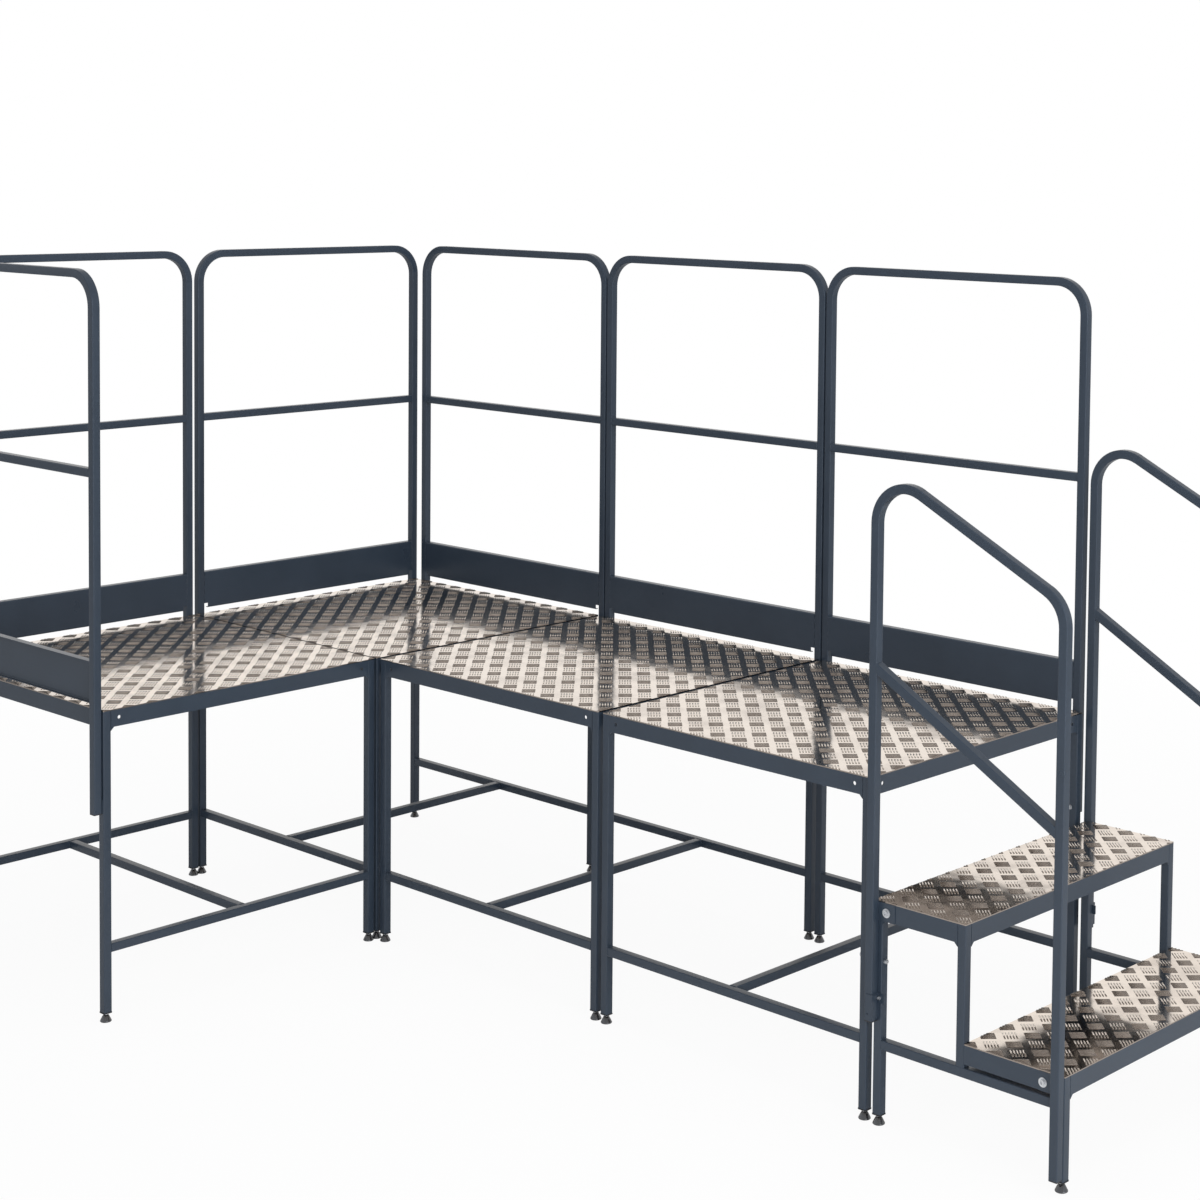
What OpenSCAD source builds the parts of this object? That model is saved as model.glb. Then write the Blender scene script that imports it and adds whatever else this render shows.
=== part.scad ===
// L-shaped work platform: four square deck modules on levelling feet, guard rails with toe
// boards along the outer sides, and a two-step unit with sloping handrails at one end.
// Millimetres, +Z up, +X along the long arm towards the steps, floor at Z = 0.

/* [Platform modules] */
// Side of one square deck module
module_side = 975; // [800:5:1200]
// Height of the deck surface above the floor
deck_height = 900; // [880:5:950]
// Clear gap between the two modules of the short arm
short_gap = 8; // [5:1:20]
// Clear gap between the modules of the long arm
long_gap = 18; // [10:1:30]
// Thickness of the tread plates
plate_t = 3; // [2:0.5:5]
// Depth of the rim face below the tread plate
rim_depth = 48; // [45:1:60]
// Steel thickness of the rim angles
rim_t = 3; // [2:0.5:4]
// Size of the corner gussets where a rim meets a leg
gusset = 10; // [4:1:15]
// Distance of a link hole from the module corner
link_inset = 52; // [45:1:80]
// Diameter of the link holes
link_hole_d = 10.5; // [9:0.5:13]

/* [Tubes] */
// Outer size of the square tube
tube = 25; // [24:0.5:27]
// Wall of the square tube
wall = 2; // [1.5:0.25:2.5]
// Outer corner radius of the square tube
tube_r = 2.5; // [2:0.25:3.5]
// Centre-line radius of the bends in rails and handrails
bend_r = 95; // [70:5:110]
// Height of the underside of the leg braces above the floor
brace_z = 200; // [100:10:300]

/* [Guard rails] */
// Length of one guard rail
rail_len = 970; // [800:5:1000]
// Height of the top rail above the deck
rail_top = 1249; // [1000:1:1300]
// Height of the centre of the mid rail above the deck
mid_rail = 676.5; // [400:0.5:800]
// How far the rail posts reach below the deck
rail_drop = 297; // [200:1:350]
// Gap between neighbouring guard rails of the long arm
rail_gap = 6; // [2:1:12]
// Height of the toe board sheet
toe_h = 125; // [100:1:160]
// Height of the lower edge of the toe board above the deck
toe_z = 17; // [5:1:40]
// Sheet thickness of toe boards, clips and tabs
sheet = 2; // [1.5:0.5:2]

/* [Steps and handrails] */
// Gap between the long arm and the steps
step_gap = 22; // [15:1:30]
// Overall length of the step unit
step_len = 587; // [560:1:640]
// Length of the upper tread
upper_len = 287; // [250:1:310]
// Height of the upper tread above the floor
upper_z = 588; // [500:1:620]
// Height of the lower tread above the floor
lower_z = 287; // [282:1:320]
// Height of the top of the handrail above the floor
handrail_top = 1669; // [1500:1:1800]
// Slope of the upper handrail tube
top_slope = 26.4; // [20:0.2:30]
// Length of the straight slope of the handrail
hand_run = 427; // [400:1:440]
// Slope of the lower handrail tube
bar_slope = 29.4; // [22:0.2:32]

/* [Levelling feet] */
// Height of a leg end above the floor with the foot screwed in
foot_h = 28; // [26:1:40]
// Diameter of the foot pad
pad_d = 32.4; // [26:0.2:36]
// Diameter of the foot screw
screw_d = 10; // [8:1:12]
// Length of the foot screw above the pad
screw_len = 58; // [40:1:80]

/* [Hidden] */
$fn = 48;
// Corner radius of the sloping bar, a little sharper than that of the posts it meets
bar_r = 2;
half = tube / 2;
// Lower edge of the plates, where legs and rims stop
frame_top = deck_height - plate_t;
step_x = 3 * module_side + 2 * long_gap + step_gap;
short_y = -2 * module_side - short_gap;
long_pitch = module_side + long_gap;
// Corner with the smallest X and Y of modules a, b, c and d
MODULES = [[0, short_y], [0, -module_side], [long_pitch, -module_side], [2 * long_pitch, -module_side]];
// Quarter turns of the brace frame in each module
BRACE_TURN = [1, 0, 0, 0];
LINK_Z = deck_height - 25.5;

// Guard rails: start point, heading, offset of the frame leg, places of its two clip bolts,
// and how far the bolts sit off the middle of the clip so that they pass each other in a corner leg
RAILS = [
    [0, short_y + 3, 90, -3, 11, 958.5, 10],
    [rail_len, short_y, 180, -5, 10, 957.5, 0],
    [0, 12 - module_side, 90, -12, 7, 954, 10],
    [27, 0, 0, -27, -14.5, 935.5, 0],
    [27 + rail_len + rail_gap, 0, 0, -10, 9, 955, 0],
    [27 + 2 * (rail_len + rail_gap), 0, 0, 7, 16, 962, 0]
];
clip_t = sheet;
clip_h = 36;
clip_z = deck_height - rail_drop + 22;
post_base = deck_height - rail_drop + 3;
cap_t = 3;
bolt_clear = 0.3;
clip_bolt_d = 6;
clip_nut_d = 9;
clip_washer_d = 13;

// Handrail, measured from the outer face of its rear post
hand_x = step_x - 12;
hand_front = half + 2 * bend_r + hand_run * cos(top_slope);
hand_rear_base = 274 + cap_t;
hand_front_base = 33 + cap_t;
hand_centre_z = handrail_top - bend_r - half;
hand_low_z = hand_centre_z - hand_run * sin(top_slope);
bar_mid = [296, deck_height + 137];
// Bolts that hold a handrail: distance from the rear post face, height
tab_bolts = [[50.5, upper_z - 28], [537, lower_z - 29]];
tab_bolt_d = 8;
// Screw of the bracket, close beside the handrail post: place, size, head and blind nut
bracket_bolt = [31.9, 335.5];
bracket_bolt_d = 5;
bracket_head_d = 9.5;
bracket_nut_d = 6;
bracket_z = 284;
bracket_h = 63;
bracket_tab_h = 25;
// Height of the bolts between the steps and the last module
step_link_z = 429;
step_link_d = 8;
link_bolt_d = 10;

centre_x = (step_x + step_len - half + pad_d / 2 - tube - clip_t) / 2;
centre_y = (short_y) / 2;

painted = [0.25, 0.29, 0.34];
bright = [0.80, 0.79, 0.76];
zinc = [0.72, 0.73, 0.74];
black = [0.08, 0.08, 0.09];

// Moves the drawing so that the middle of the footprint stands on the origin
module placed() {
    translate([-centre_x, -centre_y, 0]) children();
}

// ---- sections ----

module rounded_square(size, radius) {
    square([size - 2 * radius, size], center = true);
    square([size, size - 2 * radius], center = true);
    for (sx = [-1, 1], sy = [-1, 1])
        translate([sx, sy] * (size / 2 - radius)) circle(radius);
}

module rounded_rect(w, h, radius) {
    translate([radius, 0]) square([w - 2 * radius, h]);
    translate([0, radius]) square([w, h - 2 * radius]);
    for (x = [radius, w - radius], y = [radius, h - radius])
        translate([x, y]) circle(radius);
}

// Square tube with rounded corners, hollow
module tube_section(radius = tube_r) {
    difference() {
        rounded_square(tube, radius);
        rounded_square(tube - 2 * wall, radius / 2);
    }
}

module tube_z(length, radius = tube_r) {
    linear_extrude(length) tube_section(radius);
}

module tube_x(length, radius = tube_r) {
    rotate([0, 90, 0]) tube_z(length, radius);
}

module tube_y(length) {
    rotate([-90, 0, 0]) tube_z(length);
}

// ---- parts of a module ----

// One rim angle along X, outer face at Y = 0, top at Z = 0, gussets at the ends it is asked for
module rim_member(length, hole_at, gusset_size) {
    difference() {
        union() {
            translate([0, rim_t, 0]) rotate([90, 0, 0]) linear_extrude(rim_t)
                polygon([[0, 0], [length, 0], [length, -rim_depth - gusset_size],
                    [length - gusset_size, -rim_depth], [gusset_size, -rim_depth],
                    [0, -rim_depth - gusset_size]]);
            translate([0, 0, -rim_t]) cube([length, tube, rim_t]);
        }
        for (x = hole_at)
            translate([x, -1, LINK_Z - frame_top]) rotate([-90, 0, 0])
                cylinder(d = link_hole_d, h = rim_t + 2);
    }
}

// Four rim angles between the legs of a module
module module_rim(m) {
    clear = module_side - 2 * tube;
    color(painted) placed()
        translate([MODULES[m].x + module_side / 2, MODULES[m].y + module_side / 2, frame_top])
            for (k = [0:3])
                rotate(90 * k) translate([-clear / 2, -module_side / 2, 0])
                    rim_member(clear, [link_inset - tube, clear - link_inset + tube], gusset);
}

// Holes of the clip bolts through legs and posts
module clip_bolt_holes(depth) {
    for (r = RAILS, x = [r[4], r[5]])
        translate([r.x, r.y, clip_z + r[6]]) rotate(r[2])
            translate([x, -tube - 1, 0]) rotate([-90, 0, 0])
                cylinder(d = clip_bolt_d + 2 * bolt_clear, h = tube + 1 + depth);
}

// Holes of the two bolts between the last module and the steps
module step_link_holes() {
    for (y = [-half, half - module_side])
        translate([step_x - step_gap - tube - 1, y, step_link_z]) rotate([0, 90, 0])
            cylinder(d = step_link_d + 2 * bolt_clear, h = step_gap + 2 * tube + 2);
}

module module_legs(m) {
    color(painted) placed() difference() {
        for (x = [half, module_side - half], y = [half, module_side - half])
            translate([MODULES[m].x + x, MODULES[m].y + y, foot_h]) tube_z(frame_top - foot_h);
        clip_bolt_holes(0);
        step_link_holes();
    }
}

module module_deck(m) {
    color(bright) placed() translate([MODULES[m].x, MODULES[m].y, frame_top])
        linear_extrude(plate_t) rounded_rect(module_side, module_side, tube_r);
}

// Two stretchers between neighbouring legs and one tube across at their middle
module brace_frame() {
    clear = module_side - 2 * tube;
    for (s = [-1, 1])
        translate([-clear / 2, s * (module_side / 2 - half), 0]) tube_x(clear);
    translate([0, -clear / 2, 0]) tube_y(clear);
}

module leg_braces() {
    color(painted) placed()
        for (m = [0:3])
            translate([MODULES[m].x + module_side / 2, MODULES[m].y + module_side / 2, brace_z + half])
                rotate(90 * BRACE_TURN[m]) brace_frame();
}

// ---- levelling feet ----

function leg_xy(n) = n < 16
    ? [MODULES[floor(n / 4)].x + (n % 2 == 0 ? half : module_side - half),
        MODULES[floor(n / 4)].y + (n % 4 < 2 ? half : module_side - half)]
    : [step_x + (n % 2 == 0 ? half : step_len - half), n < 18 ? half - module_side : -half];

plug_flange = 3;
plug_depth = 18;
plug_gap = 0.2;

// Plug with a square flange that closes a leg end and carries the foot screw
module leg_plugs() {
    inner = tube - 2 * wall - 2 * plug_gap;
    color(black) placed()
        for (n = [0:19])
            translate([leg_xy(n).x, leg_xy(n).y, foot_h - plug_flange]) difference() {
                union() {
                    linear_extrude(plug_flange) rounded_square(tube + 2, tube_r + 1);
                    linear_extrude(plug_flange + plug_depth) rounded_square(inner, 1);
                }
                translate([0, 0, -1]) cylinder(d = screw_d + 0.1, h = plug_flange + plug_depth + 2);
            }
}

pad_h = 3;
cone_h = 18;
collar_d = 14;
collar_h = 2;

// Foot with a round pad, a conical hub and a screw that runs in the plug
module foot(n) {
    color(black) placed() translate([leg_xy(n).x, leg_xy(n).y, 0]) {
        cylinder(d = pad_d, h = pad_h);
        translate([0, 0, pad_h]) cylinder(d1 = pad_d - 2, d2 = collar_d, h = cone_h);
        translate([0, 0, pad_h + cone_h]) cylinder(d = collar_d, h = collar_h);
        cylinder(d = screw_d, h = pad_h + cone_h + screw_len);
    }
}

// ---- guard rails ----

// Puts a child drawn along X, outward side +Y, on the place of rail r
module on_rail(r) {
    placed() translate([RAILS[r].x, RAILS[r].y, 0]) rotate(RAILS[r][2]) children();
}

// Tube from point p to point q in the upright plane
module run(p, q, radius = tube_r) {
    d = q - p;
    translate(p) rotate(atan2(d.y, d.x)) tube_x(norm(d), radius);
}

// Bend round the origin that starts on the +X side
module tube_bend(sweep) {
    rotate_extrude(angle = sweep) translate([bend_r, 0]) tube_section();
}

// Bend of the tube round a centre in the upright plane
module bend(centre, start, sweep) {
    translate(centre) rotate(start) tube_bend(sweep);
}

// Turns a drawing of the upright plane up, its tube between Y = 0 and the tube size
module upright(y) {
    translate([0, y + half, 0]) rotate([90, 0, 0]) children();
}

vent_d = 9;

// Bent tube with two posts, top rail and a mid rail welded between the posts
module guard_rail(r) {
    bend_z = deck_height + rail_top - bend_r - half;
    mid_z = deck_height + mid_rail;
    corner = half + bend_r;
    color(painted) difference() {
        on_rail(r) difference() {
            upright(clip_t) {
                run([half, post_base], [half, bend_z]);
                run([rail_len - half, post_base], [rail_len - half, bend_z]);
                bend([corner, bend_z], 90, 90);
                bend([rail_len - corner, bend_z], 0, 90);
                run([corner, bend_z + bend_r], [rail_len - corner, bend_z + bend_r]);
                run([tube, mid_z], [rail_len - tube, mid_z]);
            }
            translate([tube - 1.5 * wall, clip_t + half, mid_z]) rotate([0, 90, 0])
                cylinder(d = vent_d, h = rail_len - 2 * tube + 3 * wall);
        }
        placed() clip_bolt_holes(clip_t + wall + 1);
    }
}

toe_lip = 12;
toe_notch = [14, 16];

// Folded sheet: upright face, wide top flange, narrow lower lip
module toe_section() {
    difference() {
        rounded_rect(tube + 10, toe_h, 2 * sheet);
        translate([sheet, sheet]) rounded_rect(tube + 10, toe_h - 2 * sheet, sheet);
        translate([tube, -1]) square([20, toe_h + 2]);
        translate([toe_lip, -1]) square([tube, toe_h / 2]);
    }
}

module toe_board(r) {
    color(painted) on_rail(r) translate([0, clip_t, deck_height + toe_z]) difference() {
        translate([tube, 0, 0]) rotate([90, 0, 90]) linear_extrude(rail_len - 2 * tube) toe_section();
        for (x = [tube - 1, rail_len - tube - toe_notch.x])
            translate([x, -1, -1]) cube([toe_notch.x + 1, tube, toe_notch.y + 1]);
    }
}

// Flat clips between each rail post and the leg beside it
module rail_clips() {
    for (k = [0:5])
        on_rail(k) for (s = [0, 1]) {
            shift = s * (rail_len - tube);
            leg = RAILS[k][3] + s * (module_side - tube);
            x0 = min(shift, leg) + 3;
            x1 = max(shift, leg) + tube - 3;
            difference() {
                translate([x0, 0, clip_z - clip_h / 2]) cube([x1 - x0, clip_t, clip_h]);
                translate([RAILS[k][4 + s], -1, clip_z + RAILS[k][6]]) rotate([-90, 0, 0])
                    cylinder(d = clip_bolt_d + 2 * bolt_clear, h = clip_t + 2);
            }
        }
}

// Folded bracket that wraps the rear handrail post and bolts to the step leg
module post_bracket() {
    difference() {
        union() {
            translate([7, tube, bracket_z]) cube([tube - 7 + sheet, sheet, bracket_h]);
            translate([tube, 0, bracket_z]) cube([sheet, tube + sheet, bracket_h]);
            translate([tube, 0, bracket_z + bracket_h - bracket_tab_h])
                cube([21, sheet, bracket_tab_h]);
        }
        translate([bracket_bolt.x, -1, bracket_bolt.y]) rotate([-90, 0, 0])
            cylinder(d = bracket_bolt_d + 2 * bolt_clear, h = sheet + 2);
        translate([13, tube - 1, bracket_z + 12]) rotate([-90, 0, 0]) cylinder(d = 5, h = sheet + 2);
    }
}

// Puts a handrail drawing on the near or far side of the steps
module on_step_side(side) {
    placed() {
        if (side == 0)
            translate([hand_x, -module_side, 0]) mirror([0, 1, 0]) children();
        else
            translate([hand_x, 0, 0]) children();
    }
}

module rail_brackets() {
    color(painted) {
        rail_clips();
        for (side = [0, 1])
            on_step_side(side) post_bracket();
    }
}

// ---- steps ----

module step_frame_at(x, z) {
    placed() translate([step_x + x, -module_side, z]) children();
}

// Holes of the bracket bolt in the outer wall of a rear step leg
module bracket_bolt_holes() {
    for (y = [-module_side - 1, -wall - 1])
        translate([hand_x + bracket_bolt.x, y, bracket_bolt.y]) rotate([-90, 0, 0])
            cylinder(d = bracket_bolt_d + 2 * bolt_clear, h = wall + 2);
}

mid_x = upper_len - half;

module step_legs() {
    color(painted) placed() difference() {
        for (y = [-half, half - module_side]) {
            translate([step_x + half, y, foot_h]) tube_z(upper_z - plate_t - foot_h);
            translate([step_x + mid_x, y, brace_z + tube]) tube_z(upper_z - plate_t - brace_z - tube);
            translate([step_x + step_len - half, y, foot_h]) tube_z(lower_z - plate_t - foot_h);
        }
        step_link_holes();
        bracket_bolt_holes();
    }
}

module step_stretchers() {
    color(painted) placed()
        for (y = [-half, half - module_side])
            translate([step_x + tube, y, brace_z + half]) tube_x(step_len - 2 * tube);
}

// Holes of the handrail tab bolts in the side members of the treads
module tab_bolt_holes() {
    for (b = tab_bolts, y = [-module_side - 1, -rim_t - 1])
        placed() translate([hand_x + b.x, y, b.y]) rotate([-90, 0, 0])
            cylinder(d = tab_bolt_d + 2 * bolt_clear, h = rim_t + 2);
}

module step_upper_rim() {
    across = module_side - 2 * tube;
    along = upper_len - 2 * tube;
    color(painted) difference() {
        step_frame_at(0, upper_z - plate_t) {
            translate([tube, 0, 0]) rim_member(along, [], gusset);
            translate([tube + along, module_side, 0]) rotate(180) rim_member(along, [], gusset);
            translate([upper_len, tube, 0]) rotate(90) rim_member(across, [], gusset);
            translate([0, tube + across, 0]) rotate(-90) rim_member(across, [], gusset);
        }
        tab_bolt_holes();
    }
}

module step_lower_rim() {
    across = module_side - 2 * tube;
    along = step_len - upper_len - tube;
    color(painted) difference() {
        step_frame_at(upper_len, lower_z - plate_t) {
            rim_member(along, [], 0);
            translate([along, module_side, 0]) rotate(180) rim_member(along, [], 0);
            translate([along + tube, tube, 0]) rotate(90) rim_member(across, [], gusset);
            translate([0, tube + across, 0]) rotate(-90) rim_member(across, [], 0);
        }
        tab_bolt_holes();
    }
}

module step_upper_tread() {
    color(bright) step_frame_at(0, upper_z - plate_t)
        linear_extrude(plate_t) rounded_rect(upper_len, module_side, tube_r);
}

module step_lower_tread() {
    color(bright) step_frame_at(upper_len, lower_z - plate_t)
        linear_extrude(plate_t) rounded_rect(step_len - upper_len, module_side, tube_r);
}

// ---- handrails ----

// How far the straight slope reaches into each bend, and how much thinner it is drawn on each
// side so that its skin lies inside the wall of the bend there
slope_lap = 3;
slope_inset = 0.25;

module slope_tube(length) {
    rotate([0, 90, 0]) linear_extrude(length) difference() {
        rounded_square(tube - 2 * slope_inset, tube_r);
        rounded_square(tube - 2 * wall + 2 * slope_inset, tube_r / 2);
    }
}

// One bent tube: rear post, tight bend, slope, second bend, front post
module handrail_tube() {
    run([half, hand_rear_base], [half, hand_centre_z]);
    translate([half + bend_r, hand_centre_z]) {
        mirror([1, 0, 0]) tube_bend(90 + top_slope);
        rotate(-top_slope) translate([-slope_lap, bend_r, 0]) slope_tube(hand_run + 2 * slope_lap);
    }
    translate([hand_front - bend_r, hand_low_z]) {
        tube_bend(90 - top_slope);
        translate([bend_r, 0, 0]) rotate(-90) tube_x(hand_low_z - hand_front_base);
    }
}

// Sloping bar that ends inside the walls of the posts
module handrail_bar() {
    reach = 340;
    dir = [cos(bar_slope), -sin(bar_slope)];
    start = tube - wall / 2;
    intersection() {
        run(bar_mid - reach * dir, bar_mid + reach * dir, bar_r);
        translate([start, 0, -tube])
            cube([hand_front - half + wall / 2 - start, 2 * deck_height, 2 * tube]);
    }
}

// Vent holes between the bar and the hollow of each post
module bar_vents() {
    for (x = [tube - wall / 2, hand_front - half + wall / 2])
        translate([x, half, bar_mid.y + (bar_mid.x - x) * tan(bar_slope)])
            rotate([0, 90, 0]) cylinder(d = vent_d, h = 2 * wall, center = true);
}

// Flat tabs welded to the posts at rim height
module handrail_tabs() {
    difference() {
        union() {
            translate([tube - wall / 2, 0, upper_z - plate_t - rim_depth]) cube([54, sheet, rim_depth]);
            translate([hand_front - half - 49, 0, lower_z - plate_t - rim_depth])
                cube([49 + wall / 2, sheet, rim_depth]);
        }
        for (b = tab_bolts)
            translate([b.x, -1, b.y]) rotate([-90, 0, 0])
                cylinder(d = tab_bolt_d + 2 * bolt_clear, h = sheet + 2);
    }
}

module handrail(side) {
    color(painted) on_step_side(side) difference() {
        union() {
            upright(0) {
                handrail_tube();
                handrail_bar();
            }
            handrail_tabs();
        }
        bar_vents();
    }
}

// ---- caps and fasteners ----

module post_cap() {
    inner = tube - 2 * wall - 2 * plug_gap;
    translate([0, 0, -cap_t]) linear_extrude(cap_t) rounded_square(tube, tube_r);
    linear_extrude(10) rounded_square(inner, 1);
}

module post_caps() {
    color(black) {
        for (k = [0:5])
            on_rail(k) for (x = [half, rail_len - half])
                translate([x, clip_t + half, post_base]) post_cap();
        for (side = [0, 1])
            on_step_side(side) {
                translate([half, half, hand_rear_base]) post_cap();
                translate([hand_front, half, hand_front_base]) post_cap();
            }
    }
}

// Screw along +Z: head with hexagon socket, washer below Z = 0, shank up to the nut
module bolt(d, grip, head_d, washer_d, nut_d, nut_sides) {
    washer_t = 1.5;
    difference() {
        union() {
            translate([0, 0, -washer_t]) cylinder(d = washer_d, h = washer_t);
            translate([0, 0, -washer_t - 0.6 * d]) cylinder(d = head_d, h = 0.6 * d);
            translate([0, 0, -washer_t]) cylinder(d = d, h = grip + washer_t + d + 1);
            translate([0, 0, grip]) cylinder(d = nut_d, h = 0.8 * d, $fn = nut_sides);
        }
        translate([0, 0, -washer_t - 0.6 * d - 1]) cylinder(d = 0.6 * head_d, h = 0.4 * d + 1, $fn = 6);
    }
}

module rail_bolts() {
    color(zinc)
        for (k = [0:5])
            on_rail(k) for (s = [0, 1]) {
                x = RAILS[k][4 + s];
                in_post = x > s * (rail_len - tube) && x < s * (rail_len - tube) + tube;
                translate([x, -tube, clip_z + RAILS[k][6]]) rotate([-90, 0, 0])
                    bolt(clip_bolt_d, tube + clip_t + (in_post ? wall : 0), 10, clip_washer_d,
                        clip_nut_d, 48);
            }
}

module link_bolts() {
    color(zinc) placed() {
        for (x = [link_inset, module_side - link_inset])
            translate([x, -module_side + rim_t, LINK_Z]) rotate([90, 0, 0])
                bolt(link_bolt_d, short_gap + 2 * rim_t, 16, 20, 18, 6);
        for (m = [1, 2], y = [-link_inset, link_inset - module_side])
            translate([MODULES[m].x + module_side - rim_t, y, LINK_Z]) rotate([0, 90, 0])
                bolt(link_bolt_d, long_gap + 2 * rim_t, 16, 20, 18, 6);
        for (y = [-half, half - module_side])
            translate([step_x - step_gap - tube, y, step_link_z]) rotate([0, 90, 0])
                bolt(step_link_d, step_gap + 2 * tube, 13, 16, 14, 6);
    }
}

module spacer(d, length) {
    difference() {
        cylinder(d = d, h = length);
        translate([0, 0, -1]) cylinder(d = 0.55 * d, h = length + 2);
    }
}

module link_spacers() {
    color(zinc) placed() {
        for (x = [link_inset, module_side - link_inset])
            translate([x, -module_side, LINK_Z]) rotate([90, 0, 0]) spacer(20, short_gap);
        for (m = [1, 2], y = [-link_inset, link_inset - module_side])
            translate([MODULES[m].x + module_side, y, LINK_Z]) rotate([0, 90, 0]) spacer(20, long_gap);
        for (y = [-half, half - module_side])
            translate([step_x - step_gap, y, step_link_z]) rotate([0, 90, 0]) spacer(18, step_gap);
    }
}

module step_bolts() {
    color(zinc)
        for (side = [0, 1])
            on_step_side(side) {
                for (b = tab_bolts)
                    translate([b.x, sheet, b.y]) rotate([90, 0, 0])
                        bolt(tab_bolt_d, sheet + rim_t, 15, 24, 15, 6);
                translate([bracket_bolt.x, sheet, bracket_bolt.y]) rotate([90, 0, 0])
                    bolt(bracket_bolt_d, sheet + wall, bracket_head_d - 1, bracket_head_d,
                        bracket_nut_d, 48);
            }
}

module_rim(0);  // a_rim
module_rim(1);  // b_rim
module_rim(2);  // c_rim
module_rim(3);  // d_rim
module_legs(0);  // a_legs
module_legs(1);  // b_legs
module_legs(2);  // c_legs
module_legs(3);  // d_legs
module_deck(0);  // a_deck
module_deck(1);  // b_deck
module_deck(2);  // c_deck
module_deck(3);  // d_deck
leg_braces();
leg_plugs();
foot(0);  // foot_01
foot(1);  // foot_02
foot(2);  // foot_03
foot(3);  // foot_04
foot(4);  // foot_05
foot(5);  // foot_06
foot(6);  // foot_07
foot(7);  // foot_08
foot(8);  // foot_09
foot(9);  // foot_10
foot(10);  // foot_11
foot(11);  // foot_12
foot(12);  // foot_13
foot(13);  // foot_14
foot(14);  // foot_15
foot(15);  // foot_16
foot(16);  // foot_17
foot(17);  // foot_18
foot(18);  // foot_19
foot(19);  // foot_20
guard_rail(0);  // a_outer_rail
guard_rail(1);  // a_end_rail
guard_rail(2);  // b_outer_rail
guard_rail(3);  // b_back_rail
guard_rail(4);  // c_back_rail
guard_rail(5);  // d_back_rail
toe_board(0);  // a_outer_toe_board
toe_board(1);  // a_end_toe_board
toe_board(2);  // b_outer_toe_board
toe_board(3);  // b_back_toe_board
toe_board(4);  // c_back_toe_board
toe_board(5);  // d_back_toe_board
step_legs();
step_upper_rim();
step_lower_rim();
step_stretchers();
step_upper_tread();
step_lower_tread();
handrail(0);  // handrail_near
handrail(1);  // handrail_far
post_caps();
rail_brackets();
rail_bolts();
link_bolts();
link_spacers();
step_bolts();
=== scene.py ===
import math

import bmesh
import bpy
from mathutils import Matrix, Vector


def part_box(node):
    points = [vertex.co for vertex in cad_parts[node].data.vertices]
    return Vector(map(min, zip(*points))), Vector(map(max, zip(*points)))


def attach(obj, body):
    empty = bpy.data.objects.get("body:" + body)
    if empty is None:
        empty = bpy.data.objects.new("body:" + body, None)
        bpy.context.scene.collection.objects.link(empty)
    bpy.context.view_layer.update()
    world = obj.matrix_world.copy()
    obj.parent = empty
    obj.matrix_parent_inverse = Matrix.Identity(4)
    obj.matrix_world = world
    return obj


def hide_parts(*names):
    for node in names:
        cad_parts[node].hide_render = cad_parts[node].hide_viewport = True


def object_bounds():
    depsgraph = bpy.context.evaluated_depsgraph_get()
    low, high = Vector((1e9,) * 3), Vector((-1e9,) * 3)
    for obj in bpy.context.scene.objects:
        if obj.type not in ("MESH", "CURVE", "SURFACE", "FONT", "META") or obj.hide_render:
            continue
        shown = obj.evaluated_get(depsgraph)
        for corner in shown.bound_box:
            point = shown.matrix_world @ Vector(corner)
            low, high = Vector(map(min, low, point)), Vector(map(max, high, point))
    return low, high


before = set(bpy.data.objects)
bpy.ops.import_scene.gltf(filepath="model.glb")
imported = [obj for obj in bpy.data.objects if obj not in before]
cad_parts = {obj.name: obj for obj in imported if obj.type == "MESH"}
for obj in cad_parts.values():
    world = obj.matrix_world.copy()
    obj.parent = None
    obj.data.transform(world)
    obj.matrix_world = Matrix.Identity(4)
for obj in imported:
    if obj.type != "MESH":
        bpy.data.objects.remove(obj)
cad_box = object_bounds()

# ---------------------------------------------------------------------------------------------
# Welded frames: the rim angles, legs and brace tubes of the four modules and of the steps, the
# bent guard rails, the folded toe boards and the handrails are all mild steel, shot blasted and
# powder coated in one satin anthracite. The coat has a fine orange peel and a little dust.

ANTHRACITE = (0.024, 0.035, 0.052, 1.0)
ANTHRACITE_LIGHT = (0.034, 0.049, 0.071, 1.0)
DUST = (0.16, 0.155, 0.15, 1.0)
CLOUD_SCALE, PEEL_SCALE, SPECK_SCALE = 7.0, 620.0, 95.0
PEEL_DEPTH = 0.0003
CAD_WELD = 0.00001
CAD_CORNER = math.radians(24)
COLOUR, FLOAT = "NodeSocketColor", "NodeSocketFloat"


def preset(node, values):
    """Sets input sockets of a node by name."""
    for socket, value in values.items():
        node.inputs[socket].default_value = value


def new_group(name, inputs, outputs):
    """Empty shader node group with named sockets, each given as (name, type)."""
    group = bpy.data.node_groups.new(name, "ShaderNodeTree")
    for way, sockets in (("INPUT", inputs), ("OUTPUT", outputs)):
        for label, kind in sockets:
            group.interface.new_socket(label, in_out=way, socket_type=kind)
    return group


def new_material(name):
    """Material with its node list, its link function and its Principled shader."""
    material = bpy.data.materials.new(name)
    material.use_nodes = True
    nodes = material.node_tree.nodes
    return material, nodes, material.node_tree.links.new, nodes["Principled BSDF"]


def colour_mix(nodes):
    """Mix node that blends two colours."""
    mix = nodes.new("ShaderNodeMix")
    mix.data_type = "RGBA"
    return mix


def calculation(nodes, kind, operation):
    """Math or vector math node that does one operation."""
    node = nodes.new(kind)
    node.operation = operation
    return node


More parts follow.
